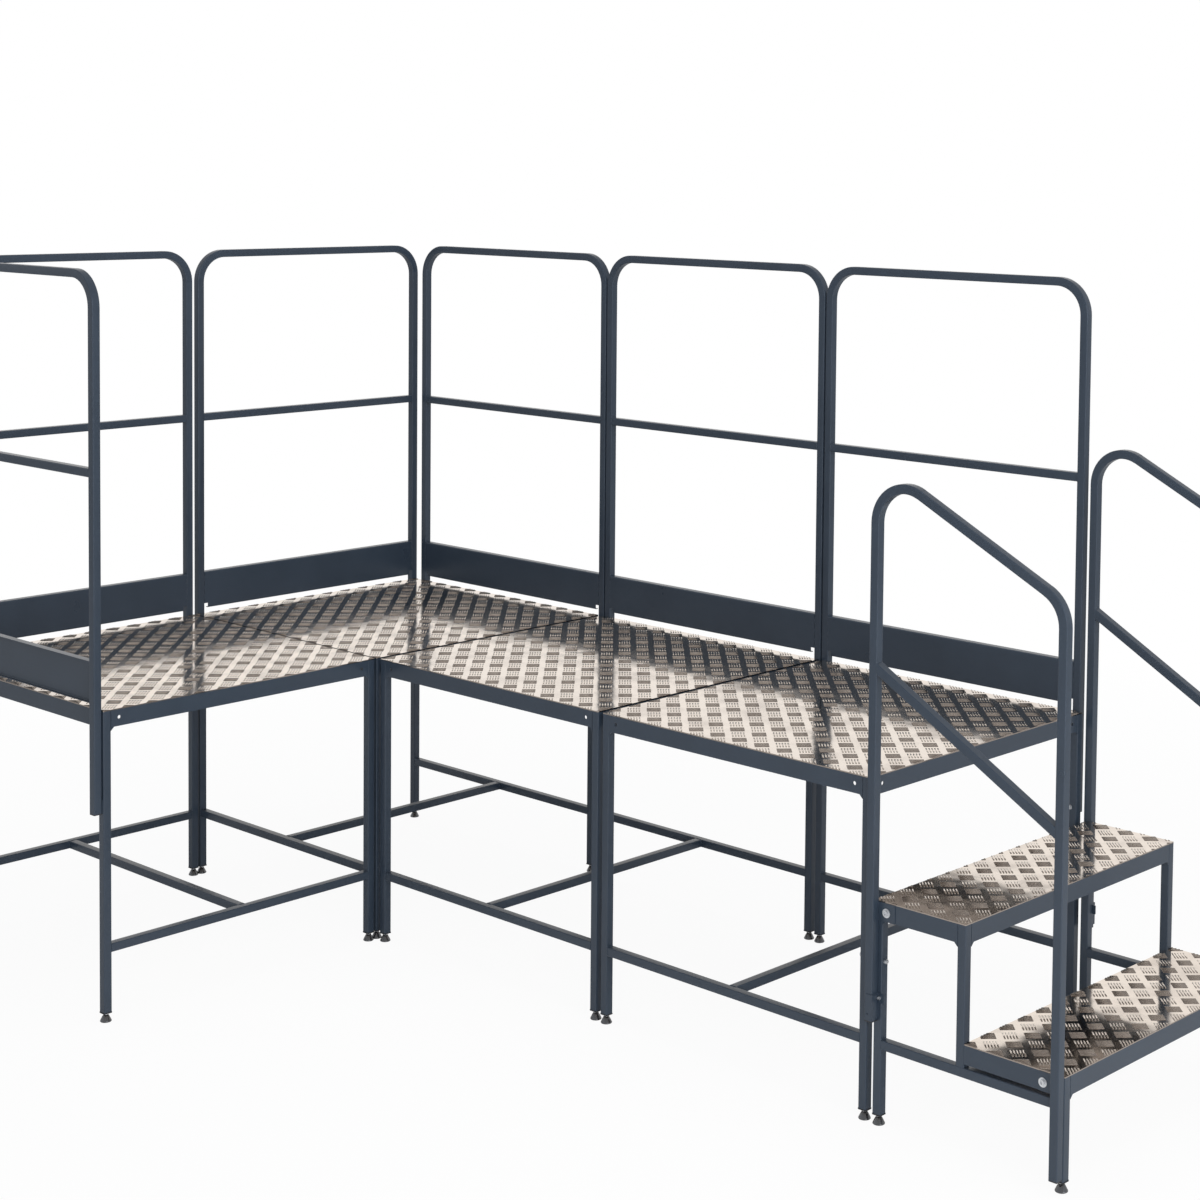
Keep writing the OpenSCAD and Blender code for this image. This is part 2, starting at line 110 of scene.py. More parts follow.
def coat_group():
    """Mottled colour, roughness and orange peel height of a powder coat."""
    group = new_group(
        "powder_coat",
        (("Colour", COLOUR), ("Light", COLOUR), ("Dust", COLOUR), ("Dust amount", FLOAT)),
        (("Colour", COLOUR), ("Roughness", FLOAT), ("Height", FLOAT)),
    )
    add, link = group.nodes.new, group.links.new
    given, out = add("NodeGroupInput"), add("NodeGroupOutput")
    place = add("ShaderNodeTexCoord")
    cloud, peel, speck = (add("ShaderNodeTexNoise") for _ in range(3))
    preset(cloud, {"Scale": CLOUD_SCALE, "Detail": 5.0})
    preset(peel, {"Scale": PEEL_SCALE, "Detail": 2.0})
    preset(speck, {"Scale": SPECK_SCALE, "Detail": 6.0})
    for texture in (cloud, peel, speck):
        link(place.outputs["Object"], texture.inputs["Vector"])
    mottle = colour_mix(group.nodes)
    link(cloud.outputs["Fac"], mottle.inputs["Factor"])
    link(given.outputs["Colour"], mottle.inputs["A"])
    link(given.outputs["Light"], mottle.inputs["B"])
    # Dust settles on faces that look up, in specks
    upward = add("ShaderNodeNewGeometry")
    tilt = add("ShaderNodeSeparateXYZ")
    link(upward.outputs["Normal"], tilt.inputs["Vector"])
    settle = add("ShaderNodeMapRange")
    preset(settle, {"From Min": 0.55, "From Max": 1.0})
    link(tilt.outputs["Z"], settle.inputs["Value"])
    grains = add("ShaderNodeMapRange")
    preset(grains, {"From Min": 0.35, "From Max": 0.8})
    link(speck.outputs["Fac"], grains.inputs["Value"])
    dusty = calculation(group.nodes, "ShaderNodeMath", "MULTIPLY")
    link(settle.outputs["Result"], dusty.inputs[0])
    link(grains.outputs["Result"], dusty.inputs[1])
    share = calculation(group.nodes, "ShaderNodeMath", "MULTIPLY")
    link(dusty.outputs["Value"], share.inputs[0])
    link(given.outputs["Dust amount"], share.inputs[1])
    veil = colour_mix(group.nodes)
    link(share.outputs["Value"], veil.inputs["Factor"])
    link(mottle.outputs["Result"], veil.inputs["A"])
    link(given.outputs["Dust"], veil.inputs["B"])
    gloss = add("ShaderNodeMapRange")
    preset(gloss, {"To Min": 0.24, "To Max": 0.36})
    link(cloud.outputs["Fac"], gloss.inputs["Value"])
    link(veil.outputs["Result"], out.inputs["Colour"])
    link(gloss.outputs["Result"], out.inputs["Roughness"])
    link(peel.outputs["Fac"], out.inputs["Height"])
    return group


COAT = coat_group()


def painted(name, dust):
    """Satin anthracite powder coat on steel, with the given share of dust on top faces."""
    material, nodes, link, shader = new_material(name)
    coat = nodes.new("ShaderNodeGroup")
    coat.node_tree = COAT
    preset(coat, {"Colour": ANTHRACITE, "Light": ANTHRACITE_LIGHT, "Dust": DUST})
    preset(coat, {"Dust amount": dust})
    bump = nodes.new("ShaderNodeBump")
    preset(bump, {"Strength": 0.10, "Distance": PEEL_DEPTH})
    link(coat.outputs["Colour"], shader.inputs["Base Color"])
    link(coat.outputs["Roughness"], shader.inputs["Roughness"])
    link(coat.outputs["Height"], bump.inputs["Height"])
    link(bump.outputs["Normal"], shader.inputs["Normal"])
    return material


def dress(node, material):
    """Gives a CAD node its finish, joins its loose triangles and keeps only true corners sharp."""
    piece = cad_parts[node]
    piece.data.materials.clear()
    piece.data.materials.append(material)
    piece.data.polygons.foreach_set("use_smooth", [True] * len(piece.data.polygons))
    join = piece.modifiers.new("join", "WELD")
    join.merge_threshold = CAD_WELD
    corners = piece.modifiers.new("corners", "EDGE_SPLIT")
    corners.split_angle = CAD_CORNER


FRAME_COAT = painted("anthracite_frame", 0.12)
MODULES = ("a", "b", "c", "d")
for module in MODULES:
    dress(module + "_rim", FRAME_COAT)
    dress(module + "_legs", FRAME_COAT)
dress("leg_braces", FRAME_COAT)

# ---------------------------------------------------------------------------------------------
# Weld beads: short convex beads on all four sides where a brace tube meets a leg or another
# brace tube. They are laid with a wire gun and powder coated together with the frame.

TUBE = 0.025
BRACE_Z = 0.2125
BEAD_SIZE = (0.0016, 0.0016, 0.0115)


def bead(bm, centre, along, size):
    """One weld bead: a stretched ball at centre with its long axis along, half sunk in."""
    made = bmesh.ops.create_uvsphere(bm, u_segments=10, v_segments=6, radius=1.0)["verts"]
    bmesh.ops.scale(bm, vec=size, verts=made)
    turn = Vector((0, 0, 1)).rotation_difference(Vector(along)).to_matrix()
    bmesh.ops.rotate(bm, cent=(0, 0, 0), matrix=turn, verts=made)
    bmesh.ops.translate(bm, vec=centre, verts=made)


def weld_joint(bm, centre, run, side):
    """Four beads round a square tube's end; run points into the tube, side lies across it."""
    run, side, centre = Vector(run), Vector(side), Vector(centre)
    other = run.cross(side)
    half = TUBE / 2
    for sign in (-1, 1):
        bead(bm, centre + side * half * sign, other, BEAD_SIZE)
        bead(bm, centre + other * half * sign, side, BEAD_SIZE)


def finish_piece(name, bm, material, body):
    """Turns a bmesh into a smooth shaded piece that rides on a CAD body."""
    bmesh.ops.recalc_face_normals(bm, faces=bm.faces)
    mesh = bpy.data.meshes.new(name)
    bm.to_mesh(mesh)
    bm.free()
    mesh.materials.append(material)
    mesh.polygons.foreach_set("use_smooth", [True] * len(mesh.polygons))
    piece = bpy.data.objects.new(name, mesh)
    bpy.context.scene.collection.objects.link(piece)
    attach(piece, body)
    return piece


BEAD_COAT = painted("anthracite_weld", 0.05)
bm = bmesh.new()
for module in MODULES:
    low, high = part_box(module + "_legs")
    middle = (low + high) / 2
    side_tubes_along_y = module == "a"
    for x in (low.x, high.x):
        for y in (low.y, high.y):
            inward_x = 1 if x < middle.x else -1
            inward_y = 1 if y < middle.y else -1
            if side_tubes_along_y:
                end = (x + inward_x * TUBE / 2, y + inward_y * TUBE, BRACE_Z)
                weld_joint(bm, end, (0, inward_y, 0), (1, 0, 0))
            else:
                end = (x + inward_x * TUBE, y + inward_y * TUBE / 2, BRACE_Z)
                weld_joint(bm, end, (inward_x, 0, 0), (0, 1, 0))
    for sign in (-1, 1):
        if side_tubes_along_y:
            reach = (high.x - low.x) / 2 - TUBE
            end = (middle.x + sign * reach, middle.y, BRACE_Z)
            weld_joint(bm, end, (-sign, 0, 0), (0, 1, 0))
        else:
            reach = (high.y - low.y) / 2 - TUBE
            end = (middle.x, middle.y + sign * reach, BRACE_Z)
            weld_joint(bm, end, (0, -sign, 0), (1, 0, 0))
finish_piece("brace_welds", bm, BEAD_COAT, "platform")

# ---------------------------------------------------------------------------------------------
# Decks: 3 mm rolled aluminium tread plate, mill bright, laid over the rim to its outer edge.
# The raised bars stand in groups of five, and neighbouring groups lie across each other. The
# rolling leaves faint streaks. The sloping faces of the bars and the edges of the plate are
# painted darker as painted shade, the groups across the view more than the others.

PLATE_COLOUR = (0.86, 0.77, 0.68, 1.0)
PLATE_GREY = (0.66, 0.58, 0.51, 1.0)
# Painted shade: the dark taupe laid over the sloping faces of the bars and the plate's edges.
PAINTED_SHADE = (0.40, 0.34, 0.295, 1.0)
BAR_PITCH = 0.0079
BAR_LENGTH = 0.0400
BAR_WIDTH = 0.0043
BAR_HEIGHT = 0.0015
BAR_FLANK = 0.0006
BAR_ROUND = 0.0012
BAR_SINK = 0.0001
BARS_EACH_WAY = 2
LATTICE = 0.0807
EDGE_INSET = 0.0003
ROLLING_STRETCH = (1.0, 14.0, 1.0)
STREAK_SHARE = 0.45
ROUGHER_WHERE_GREY = 0.08


def rolled_group():
    """Streaks, smudges and waviness of a rolled bright sheet."""
    group = new_group(
        "rolled_sheet",
        (("Bright", COLOUR), ("Grey", COLOUR), ("Smooth", FLOAT)),
        (("Colour", COLOUR), ("Roughness", FLOAT), ("Height", FLOAT)),
    )
    add, link = group.nodes.new, group.links.new
    given, out = add("NodeGroupInput"), add("NodeGroupOutput")
    place = add("ShaderNodeTexCoord")
    stretch = add("ShaderNodeMapping")
    preset(stretch, {"Scale": ROLLING_STRETCH})
    link(place.outputs["Object"], stretch.inputs["Vector"])
    streak, smudge, wave = (add("ShaderNodeTexNoise") for _ in range(3))
    preset(streak, {"Scale": 22.0, "Detail": 8.0})
    preset(smudge, {"Scale": 9.0, "Detail": 7.0})
    preset(wave, {"Scale": 13.0, "Detail": 1.0})
    link(stretch.outputs["Vector"], streak.inputs["Vector"])
    link(place.outputs["Object"], smudge.inputs["Vector"])
    link(place.outputs["Object"], wave.inputs["Vector"])
    patch = add("ShaderNodeMapRange")
    preset(patch, {"From Min": 0.45, "From Max": 0.75})
    link(smudge.outputs["Fac"], patch.inputs["Value"])
    both = calculation(group.nodes, "ShaderNodeMath", "MULTIPLY_ADD")
    both.inputs[1].default_value = STREAK_SHARE
    link(streak.outputs["Fac"], both.inputs[0])
    link(patch.outputs["Result"], both.inputs[2])
    tone = colour_mix(group.nodes)
    link(both.outputs["Value"], tone.inputs["Factor"])
    link(given.outputs["Bright"], tone.inputs["A"])
    link(given.outputs["Grey"], tone.inputs["B"])
    rough = calculation(group.nodes, "ShaderNodeMath", "MULTIPLY_ADD")
    rough.inputs[1].default_value = ROUGHER_WHERE_GREY
    link(both.outputs["Value"], rough.inputs[0])
    link(given.outputs["Smooth"], rough.inputs[2])
    link(tone.outputs["Result"], out.inputs["Colour"])
    link(rough.outputs["Value"], out.inputs["Roughness"])
    link(wave.outputs["Fac"], out.inputs["Height"])
    return group


ROLLED = rolled_group()


def sheet_metal(name, smooth, waviness, steep, level):
    """Bright rolled aluminium. Painted shade darkens faces whose upward normal is steep or less
    and thins out to nothing at level."""
    material, nodes, link, shader = new_material(name)
    rolled = nodes.new("ShaderNodeGroup")
    rolled.node_tree = ROLLED
    preset(rolled, {"Bright": PLATE_COLOUR, "Grey": PLATE_GREY, "Smooth": smooth})
    bump = nodes.new("ShaderNodeBump")
    preset(bump, {"Strength": 0.5, "Distance": waviness})
    shape, tilt = nodes.new("ShaderNodeNewGeometry"), nodes.new("ShaderNodeSeparateXYZ")
    link(shape.outputs["Normal"], tilt.inputs["Vector"])
    # Painted shade: the lower the face's upward normal, the more dark taupe is mixed in.
    slope = nodes.new("ShaderNodeMapRange")
    preset(slope, {"From Min": steep, "From Max": level, "To Min": 1.0, "To Max": 0.0})
    link(tilt.outputs["Z"], slope.inputs["Value"])
    painted_shade_mix = colour_mix(nodes)
    preset(painted_shade_mix, {"B": PAINTED_SHADE})
    link(slope.outputs["Result"], painted_shade_mix.inputs["Factor"])
    link(rolled.outputs["Colour"], painted_shade_mix.inputs["A"])
    link(painted_shade_mix.outputs["Result"], shader.inputs["Base Color"])
    link(rolled.outputs["Roughness"], shader.inputs["Roughness"])
    link(rolled.outputs["Height"], bump.inputs["Height"])
    link(bump.outputs["Normal"], shader.inputs["Normal"])
    preset(shader, {"Metallic": 1.0})
    return material


# Painted shade on the ground only at its edges; the bars along the view get it on their slopes,
# the bars across the view also on their rounded shoulders: a lit and a shaded copy of one metal.
PLATE = sheet_metal("tread_plate_ground", smooth=0.07, waviness=0.0010, steep=0.2, level=0.5)
BARS_ALONG = sheet_metal(
    "tread_plate_bars_along", smooth=0.14, waviness=0.0003, steep=0.45, level=0.62
)
BARS_ACROSS = sheet_metal(
    "tread_plate_bars_across", smooth=0.20, waviness=0.0003, steep=0.80, level=0.97
)


def five_bars(angle, finish):
    """Mesh of one group: five low bars with sloping sides and rounded tops, turned by angle."""
    bm = bmesh.new()
    crowns = []
    for k in range(-BARS_EACH_WAY, BARS_EACH_WAY + 1):
        made = bmesh.ops.create_cube(bm, size=1.0)["verts"]
        bmesh.ops.scale(bm, vec=(BAR_LENGTH, BAR_WIDTH, BAR_HEIGHT + BAR_SINK), verts=made)
        crown = [v for v in made if v.co.z > 0]
        shrink = (1 - 2 * BAR_FLANK / BAR_LENGTH, 1 - 2 * BAR_FLANK / BAR_WIDTH, 1)
        bmesh.ops.scale(bm, vec=shrink, verts=crown)
        middle = (0, k * BAR_PITCH, (BAR_HEIGHT - BAR_SINK) / 2)
        bmesh.ops.translate(bm, vec=middle, verts=made)
        crowns += crown
    rim = [e for e in bm.edges if e.verts[0] in crowns and e.verts[1] in crowns]
    bmesh.ops.bevel(
        bm, geom=rim, offset=BAR_ROUND, offset_type="OFFSET", affect="EDGES",
        segments=2, profile=0.5, material=-1,
    )
    turn = Matrix.Rotation(angle, 3, "Z")
    bmesh.ops.rotate(bm, cent=(0, 0, 0), matrix=turn, verts=bm.verts)
    # finish is the material slot: 0 the lit copy of the bar metal, 1 the shaded copy.
    for face in bm.faces:
        face.material_index = finish
    mesh = bpy.data.meshes.new("five_bars")
    bm.to_mesh(mesh)
    bm.free()
    return mesh


def tread_bars(name, plate, phase):
    """All raised bars of one plate, cut off at its edges as the sheet is cut. Phase places the
    first group from the plate's low corner."""
    low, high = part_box(plate)
    margin = BAR_LENGTH * 0.75
    count_x = int((high.x - low.x) / LATTICE) + 3
    count_y = int((high.y - low.y) / LATTICE) + 3
    bm = bmesh.new()
    # The groups at +45 degrees take slot 1, the shaded copy with more painted shade.
    for offset, angle, finish in ((0.0, math.radians(45), 1), (0.5, math.radians(-45), 0)):
        group = five_bars(angle, finish)
        here = Vector((0, 0, 0))
        for i in range(-1, count_x):
            for j in range(-1, count_y):
                x = low.x + phase[0] + (i + offset) * LATTICE
                y = low.y + phase[1] + (j + offset) * LATTICE
                near_x = low.x - margin < x < high.x + margin
                near_y = low.y - margin < y < high.y + margin
                if not (near_x and near_y):
                    continue
                place = Vector((x, y, high.z))
                group.transform(Matrix.Translation(place - here))
                here = place
                bm.from_mesh(group)
        bpy.data.meshes.remove(group)
    for spot, way in (
        ((low.x + EDGE_INSET, 0, 0), (-1, 0, 0)), ((high.x - EDGE_INSET, 0, 0), (1, 0, 0)),
        ((0, low.y + EDGE_INSET, 0), (0, -1, 0)), ((0, high.y - EDGE_INSET, 0), (0, 1, 0)),
    ):
        bmesh.ops.bisect_plane(
            bm, geom=bm.verts[:] + bm.edges[:] + bm.faces[:], plane_co=spot, plane_no=way,
            clear_outer=True,
        )
    bmesh.ops.holes_fill(bm, edges=[e for e in bm.edges if e.is_boundary])
    piece = finish_piece(name, bm, BARS_ALONG, "platform")
    piece.data.materials.append(BARS_ACROSS)


PHASES = {
    "a": (0.0136, 0.0013),
    "b": (0.0770, 0.0763),
    "c": (0.0011, 0.0333),
    "d": (0.0788, 0.0463),
}
for module in MODULES:
    dress(module + "_deck", PLATE)
    tread_bars(module + "_deck_bars", module + "_deck", PHASES[module])

# ---------------------------------------------------------------------------------------------
# Levelling feet: a glossy black moulded cone with a rounded rim, a zinc-plated collar and a zinc
# M10 screw. The screw turns in a black plastic plug that is pressed into the leg end and closes
# it with a square flange.

BLACK = (0.008, 0.008, 0.009, 1.0)
BLACK_WORN = (0.03, 0.03, 0.032, 1.0)
ZINC = (0.82, 0.83, 0.84, 1.0)
ZINC_DULL = (0.60, 0.61, 0.63, 1.0)


def moulded(name, low_rough, high_rough, ior):
    """Black moulded plastic with faint flow marks."""
    material, nodes, link, shader = new_material(name)
    place = nodes.new("ShaderNodeTexCoord")
    flow, grain = nodes.new("ShaderNodeTexNoise"), nodes.new("ShaderNodeTexNoise")
    preset(flow, {"Scale": 60.0, "Detail": 4.0})
    preset(grain, {"Scale": 900.0, "Detail": 4.0})
    link(place.outputs["Object"], flow.inputs["Vector"])
    link(place.outputs["Object"], grain.inputs["Vector"])
    tone = colour_mix(nodes)
    preset(tone, {"A": BLACK, "B": BLACK_WORN})
    link(flow.outputs["Fac"], tone.inputs["Factor"])
    gloss = nodes.new("ShaderNodeMapRange")
    preset(gloss, {"To Min": low_rough, "To Max": high_rough})
    link(flow.outputs["Fac"], gloss.inputs["Value"])
    bump = nodes.new("ShaderNodeBump")
    preset(bump, {"Strength": 0.12, "Distance": 0.0002})
    link(grain.outputs["Fac"], bump.inputs["Height"])
    link(tone.outputs["Result"], shader.inputs["Base Color"])
    link(gloss.outputs["Result"], shader.inputs["Roughness"])
    link(bump.outputs["Normal"], shader.inputs["Normal"])
    preset(shader, {"IOR": ior})
    return material


def zinc_plated(name):
    """Bright zinc plate with a faint crystal bloom."""
    material, nodes, link, shader = new_material(name)
    place = nodes.new("ShaderNodeTexCoord")
    bloom = nodes.new("ShaderNodeTexVoronoi")
    preset(bloom, {"Scale": 240.0})
    haze = nodes.new("ShaderNodeTexNoise")
    preset(haze, {"Scale": 130.0, "Detail": 6.0})
    link(place.outputs["Object"], bloom.inputs["Vector"])
    link(place.outputs["Object"], haze.inputs["Vector"])
    spread = calculation(nodes, "ShaderNodeMath", "MULTIPLY")
    link(bloom.outputs["Distance"], spread.inputs[0])
    link(haze.outputs["Fac"], spread.inputs[1])
    tone = colour_mix(nodes)
    preset(tone, {"A": ZINC, "B": ZINC_DULL})
    link(spread.outputs["Value"], tone.inputs["Factor"])
    gloss = nodes.new("ShaderNodeMapRange")
    preset(gloss, {"To Min": 0.30, "To Max": 0.52})
    link(haze.outputs["Fac"], gloss.inputs["Value"])
    link(tone.outputs["Result"], shader.inputs["Base Color"])
    link(gloss.outputs["Result"], shader.inputs["Roughness"])
    preset(shader, {"Metallic": 1.0})
    return material


FOOT_BLACK = moulded("foot_black", low_rough=0.08, high_rough=0.18, ior=2.1)
PLUG_BLACK = moulded("plug_black", low_rough=0.42, high_rough=0.60, ior=1.5)
ZINC_FINISH = zinc_plated("zinc_plate")

CONE_PROFILE = (
    (0.0, 0.0), (0.0150, 0.0), (0.0162, 0.0012), (0.0162, 0.0028), (0.0155, 0.0042),
    (0.0115, 0.0125), (0.0070, 0.0205), (0.0062, 0.0210), (0.0, 0.0210),
)
COLLAR_PROFILE = (
    (0.0, 0.0206), (0.0072, 0.0206), (0.0079, 0.0212),
    (0.0079, 0.0230), (0.0072, 0.0236), (0.0, 0.0236),
)
SCREW_BOTTOM, SCREW_TOP = 0.0225, 0.0788
THREAD_PITCH = 0.0015
CREST, ROOT = 0.0050, 0.0043
SIDES_PER_TURN = 12
SEAM = 0.000005
FOOT_CORNER = math.radians(38)


def lathe(bm, profile, steps):
    """Turned shape from a half profile of (radius, height) pairs."""
    ring = [bm.verts.new((r, 0, z)) for r, z in profile]
    edges = [bm.edges.new(pair) for pair in zip(ring[:-1], ring[1:])]
    bmesh.ops.spin(
        bm, geom=ring + edges, cent=(0, 0, 0), axis=(0, 0, 1), dvec=(0, 0, 0),
        angle=2 * math.pi, steps=steps, use_merge=True, use_duplicate=False,
    )
    bmesh.ops.remove_doubles(bm, verts=bm.verts, dist=SEAM)


def threaded_screw(bm, bottom, top):
    """Screw with a true helical thread, closed at its ends."""
    turns = int((top - bottom) / THREAD_PITCH) - 1
    flank = [(ROOT, 0), (CREST, THREAD_PITCH * 0.5), (ROOT, THREAD_PITCH)]
    line = [bm.verts.new((r, 0, bottom + z)) for r, z in flank]
    edges = [bm.edges.new(pair) for pair in zip(line[:-1], line[1:])]
    bmesh.ops.spin(
        bm, geom=line + edges, cent=(0, 0, 0), axis=(0, 0, 1),
        dvec=(0, 0, THREAD_PITCH / SIDES_PER_TURN), angle=2 * math.pi * turns,
        steps=SIDES_PER_TURN * turns, use_merge=False, use_duplicate=False,
    )
    bmesh.ops.remove_doubles(bm, verts=bm.verts, dist=SEAM)
    bmesh.ops.holes_fill(bm, edges=[e for e in bm.edges if e.is_boundary])
    core = bmesh.ops.create_cone(
        bm, cap_ends=True, segments=SIDES_PER_TURN, radius1=ROOT, radius2=ROOT,
        depth=top - bottom,
    )["verts"]
    bmesh.ops.translate(bm, vec=(0, 0, (top + bottom) / 2), verts=core)


cone_bm, screw_bm = bmesh.new(), bmesh.new()
lathe(cone_bm, CONE_PROFILE, steps=36)
lathe(screw_bm, COLLAR_PROFILE, steps=24)
threaded_screw(screw_bm, SCREW_BOTTOM, SCREW_TOP)
for number in range(1, 21):
    foot = "foot_%02d" % number
    low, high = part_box(foot)
    stand = ((low.x + high.x) / 2, (low.y + high.y) / 2, low.z)
    cone, screw = cone_bm.copy(), screw_bm.copy()
    bmesh.ops.translate(cone, vec=stand, verts=cone.verts)
    bmesh.ops.translate(screw, vec=stand, verts=screw.verts)
    cone_piece = finish_piece(foot + "_cone", cone, FOOT_BLACK, foot + "_body")
    screw_piece = finish_piece(foot + "_screw", screw, ZINC_FINISH, foot + "_body")
    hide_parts(foot)
    for piece in (cone_piece, screw_piece):
        corners = piece.modifiers.new("corners", "EDGE_SPLIT")
        corners.split_angle = FOOT_CORNER
cone_bm.free()
screw_bm.free()
dress("leg_plugs", PLUG_BLACK)

# ---------------------------------------------------------------------------------------------
# Guard rails: one 25 mm tube bent to a hoop with a mid rail welded between the posts, and a
# folded toe board stitched to the posts. Black caps close the lower ends. Flat clips and M6
# bolts hold the posts to the legs.

RAIL_COAT = painted("anthracite_rail", 0.08)
RAILS = ("a_outer", "a_end", "b_outer", "b_back", "c_back", "d_back")
MID_RAIL_Z = 1.5765
TOE_STITCHES = (0.955, 0.985, 1.018)
STITCH_ON_X, STITCH_ON_Y = (0.0020, 0.0007, 0.0080), (0.0007, 0.0020, 0.0080)
BEAD_FLUSH = 0.0001
bm = bmesh.new()
for rail in RAILS:
    dress(rail + "_rail", RAIL_COAT)
    dress(rail + "_toe_board", RAIL_COAT)
    low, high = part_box(rail + "_rail")
    middle = (low + high) / 2
    along_x = high.x - low.x > high.y - low.y
    for sign in (-1, 1):
        if along_x:
            post_x = (high.x if sign > 0 else low.x) - sign * TUBE
            weld_joint(bm, (post_x, middle.y, MID_RAIL_Z), (-sign, 0, 0), (0, 1, 0))
            inner_y = low.y if rail != "a_end" else high.y
            for z in TOE_STITCHES:
                bead(bm, (post_x, inner_y, z), (0, 0, 1), STITCH_ON_X)
        else:
            post_y = (high.y if sign > 0 else low.y) - sign * TUBE
            weld_joint(bm, (middle.x, post_y, MID_RAIL_Z), (0, -sign, 0), (1, 0, 0))
            for z in TOE_STITCHES:
                bead(bm, (high.x, post_y, z), (0, 0, 1), STITCH_ON_Y)
# On the outermost faces the beads are ground flush, so that nothing stands past the tubes.
box_low, box_high = cad_box
for vert in bm.verts:
    for axis in range(3):
        inner, outer = box_low[axis] + BEAD_FLUSH, box_high[axis] - BEAD_FLUSH
        vert.co[axis] = min(max(vert.co[axis], inner), outer)
finish_piece("rail_welds", bm, BEAD_COAT, "platform")
dress("post_caps", PLUG_BLACK)
dress("rail_brackets", RAIL_COAT)
dress("rail_bolts", ZINC_FINISH)

# ---------------------------------------------------------------------------------------------
# Links: M10 bolts with hexagon sockets and turned spacers hold the modules at a small gap, and
# two long M8 bolts tie the steps to the legs of the last module. All are zinc plated.

dress("link_bolts", ZINC_FINISH)
dress("link_spacers", ZINC_FINISH)

# ---------------------------------------------------------------------------------------------
# Steps: two treads of the same plate on welded rims and tube legs, powder coated like the
# modules, with a handrail of bent tube and a sloping bar on each side, bolted on with M8 screws
# and large washers.

for part in ("step_legs", "step_upper_rim", "step_lower_rim", "step_stretchers"):
    dress(part, FRAME_COAT)
STEP_PHASES = {"step_upper_tread": (0.0634, 0.0634), "step_lower_tread": (0.0113, 0.0037)}
for part, phase in STEP_PHASES.items():
    dress(part, PLATE)
    tread_bars(part + "_bars", part, phase)
for part in ("handrail_near", "handrail_far"):
    dress(part, RAIL_COAT)
dress("step_bolts", ZINC_FINISH)

# ---------------------------------------------------------------------------------------------
# Studio: a pale floor that keeps the object's shadow and fades into white further out, a pale
# room all round, and large soft boxes from the right, the front right and above.

FLOOR_HALF = 30.0
FLOOR_DROP = 0.0002
floor_bm = bmesh.new()
bmesh.ops.create_grid(floor_bm, x_segments=1, y_segments=1, size=FLOOR_HALF)
floor_mesh = bpy.data.meshes.new("floor")
floor_bm.to_mesh(floor_mesh)
floor_bm.free()
floor = bpy.data.objects.new("floor", floor_mesh)
floor.location = (0, 0, -FLOOR_DROP)
bpy.context.scene.collection.objects.link(floor)

WHITE = (1.0, 1.0, 1.0, 1.0)
FLOOR_COLOUR = (0.86, 0.86, 0.86, 1.0)
floor_mat, nodes, link, shader = new_material("floor_white")
preset(shader, {"Base Color": FLOOR_COLOUR, "Roughness": 0.9})
glow = nodes.new("ShaderNodeEmission")
preset(glow, {"Color": WHITE, "Strength": 1.0})
place = nodes.new("ShaderNodeTexCoord")
reach = calculation(nodes, "ShaderNodeVectorMath", "LENGTH")
link(place.outputs["Object"], reach.inputs[0])
fade = nodes.new("ShaderNodeMapRange")
preset(fade, {"From Min": 2.2, "From Max": 5.5, "To Min": 0.94, "To Max": 1.0})
link(reach.outputs["Value"], fade.inputs["Value"])
path = nodes.new("ShaderNodeLightPath")
seen = calculation(nodes, "ShaderNodeMath", "MULTIPLY")
link(path.outputs["Is Camera Ray"], seen.inputs[0])
link(fade.outputs["Result"], seen.inputs[1])
blend = nodes.new("ShaderNodeMixShader")
link(seen.outputs["Value"], blend.inputs["Fac"])
link(shader.outputs["BSDF"], blend.inputs[1])
link(glow.outputs["Emission"], blend.inputs[2])
link(blend.outputs["Shader"], nodes["Material Output"].inputs["Surface"])
floor_mesh.materials.append(floor_mat)

# The room that the metal mirrors: a white backdrop behind the object, a dimmer room in front of
# it, a dim ceiling and a bright window on the right. Matt surfaces get an even light from all
# round, and the camera sees plain white.
BACKDROP = (1.0, 0.985, 0.97, 1.0)
CAMERA_SIDE = (0.62, 0.65, 0.70, 1.0)
CEILING = (0.42, 0.41, 0.405, 1.0)
AMBIENT = (0.93, 0.96, 1.0, 1.0)
AMBIENT_LEVEL = 0.42
TO_BACKDROP = (-0.67, 0.74, 0.0)
TO_WINDOW = (0.98, -0.20, 0.0)
WINDOW_LEVEL = 4.0
world = bpy.data.worlds.new("room")
bpy.context.scene.world = world
world.use_nodes = True
nodes, link = world.node_tree.nodes, world.node_tree.links.new
place = nodes.new("ShaderNodeTexCoord")
axes = nodes.new("ShaderNodeSeparateXYZ")
link(place.outputs["Generated"], axes.inputs["Vector"])
ahead = calculation(nodes, "ShaderNodeVectorMath", "DOT_PRODUCT")
ahead.inputs[1].default_value = TO_BACKDROP
link(place.outputs["Generated"], ahead.inputs[0])
behind = nodes.new("ShaderNodeMapRange")
preset(behind, {"From Min": 0.15, "From Max": 0.60})
link(ahead.outputs["Value"], behind.inputs["Value"])
above = nodes.new("ShaderNodeMapRange")
preset(above, {"From Min": 0.38, "From Max": 0.64})
link(axes.outputs["Z"], above.inputs["Value"])
walls, mirrored = colour_mix(nodes), colour_mix(nodes)
preset(walls, {"A": CAMERA_SIDE, "B": BACKDROP})
preset(mirrored, {"B": CEILING})
link(behind.outputs["Result"], walls.inputs["Factor"])
link(walls.outputs["Result"], mirrored.inputs["A"])
link(above.outputs["Result"], mirrored.inputs["Factor"])
room = nodes["Background"]
preset(room, {"Color": AMBIENT, "Strength": AMBIENT_LEVEL})
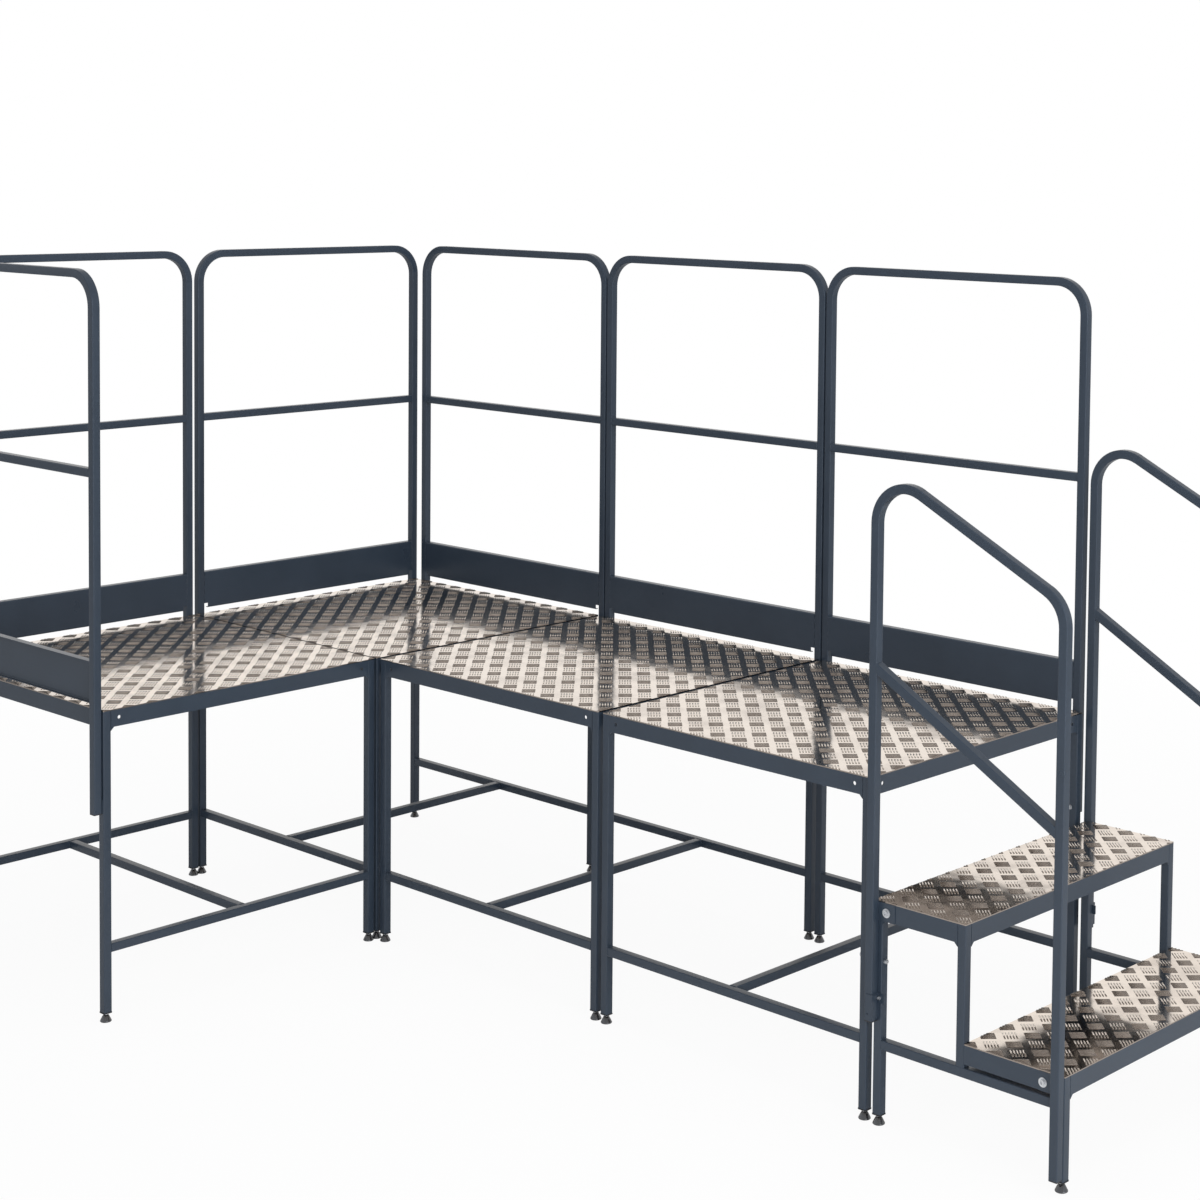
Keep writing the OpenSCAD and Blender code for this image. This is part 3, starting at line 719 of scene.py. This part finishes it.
mirror_room, white = nodes.new("ShaderNodeBackground"), nodes.new("ShaderNodeBackground")
preset(white, {"Color": WHITE})
link(mirrored.outputs["Result"], mirror_room.inputs["Color"])
sideways = calculation(nodes, "ShaderNodeVectorMath", "DOT_PRODUCT")
sideways.inputs[1].default_value = TO_WINDOW
link(place.outputs["Generated"], sideways.inputs[0])
window = nodes.new("ShaderNodeMapRange")
preset(window, {"From Min": 0.90, "From Max": 0.97, "To Min": 1.0, "To Max": WINDOW_LEVEL})
link(sideways.outputs["Value"], window.inputs["Value"])
link(window.outputs["Result"], mirror_room.inputs["Strength"])
path = nodes.new("ShaderNodeLightPath")
direct = calculation(nodes, "ShaderNodeMath", "MAXIMUM")
link(path.outputs["Is Camera Ray"], direct.inputs[0])
link(path.outputs["Is Transmission Ray"], direct.inputs[1])
for_metal, for_eye = nodes.new("ShaderNodeMixShader"), nodes.new("ShaderNodeMixShader")
link(path.outputs["Is Glossy Ray"], for_metal.inputs["Fac"])
link(room.outputs["Background"], for_metal.inputs[1])
link(mirror_room.outputs["Background"], for_metal.inputs[2])
link(direct.outputs["Value"], for_eye.inputs["Fac"])
link(for_metal.outputs["Shader"], for_eye.inputs[1])
link(white.outputs["Background"], for_eye.inputs[2])
link(for_eye.outputs["Shader"], nodes["World Output"].inputs["Surface"])


def soft_box(name, place, target, size, watts):
    """Rectangular area lamp that looks at a point and isn't mirrored by the metal."""
    lamp = bpy.data.lights.new(name, "AREA")
    lamp.shape = "RECTANGLE"
    lamp.size, lamp.size_y = size
    lamp.energy = watts
    holder = bpy.data.objects.new(name, lamp)
    holder.location = place
    aim = Vector(target) - Vector(place)
    holder.rotation_euler = aim.to_track_quat("-Z", "Y").to_euler()
    bpy.context.scene.collection.objects.link(holder)
    holder.visible_glossy = False


soft_box("soft_right", (7.5, -1.5, 3.2), target=(0.5, 0.0, 0.8), size=(5.0, 4.0), watts=200)
soft_box("soft_front", (6.2, -5.4, 2.6), target=(0.6, 0.0, 0.8), size=(4.0, 4.0), watts=280)
soft_box("soft_top", (0.5, 0.0, 7.0), target=(0.5, 0.0, 0.0), size=(7.0, 6.0), watts=170)

# Camera solved from the photograph: place, turn, focal length and the centre of projection, which
# lies off the picture's centre because the photograph is cropped.
CAMERA_PLACE = (4.79245, -4.52440, 2.46760)
YAW, PITCH, ROLL = math.radians(42.241), math.radians(-3.142), math.radians(0.639)
FOCAL_PX, CENTRE_X_PX, CENTRE_Y_PX, PICTURE_PX = 2285.2, 729.1, 288.1, 1200.0
SENSOR_MM = 36.0
forward = Vector(
    (-math.sin(YAW) * math.cos(PITCH), math.cos(YAW) * math.cos(PITCH), math.sin(PITCH))
)
level = Vector((math.cos(YAW), math.sin(YAW), 0.0))
upright = level.cross(forward)
right = level * math.cos(ROLL) + upright * math.sin(ROLL)
top = upright * math.cos(ROLL) - level * math.sin(ROLL)
lens = bpy.data.cameras.new("camera")
lens.sensor_width = SENSOR_MM
lens.lens = SENSOR_MM * FOCAL_PX / PICTURE_PX
lens.shift_x = (PICTURE_PX / 2 - CENTRE_X_PX) / PICTURE_PX
lens.shift_y = (CENTRE_Y_PX - PICTURE_PX / 2) / PICTURE_PX
lens.clip_end = 100.0
camera = bpy.data.objects.new("camera", lens)
turn = Matrix((right, top, -forward)).transposed().to_4x4()
camera.matrix_world = Matrix.Translation(CAMERA_PLACE) @ turn
bpy.context.scene.collection.objects.link(camera)
bpy.context.scene.camera = camera
bpy.context.scene.view_settings.view_transform = "Standard"
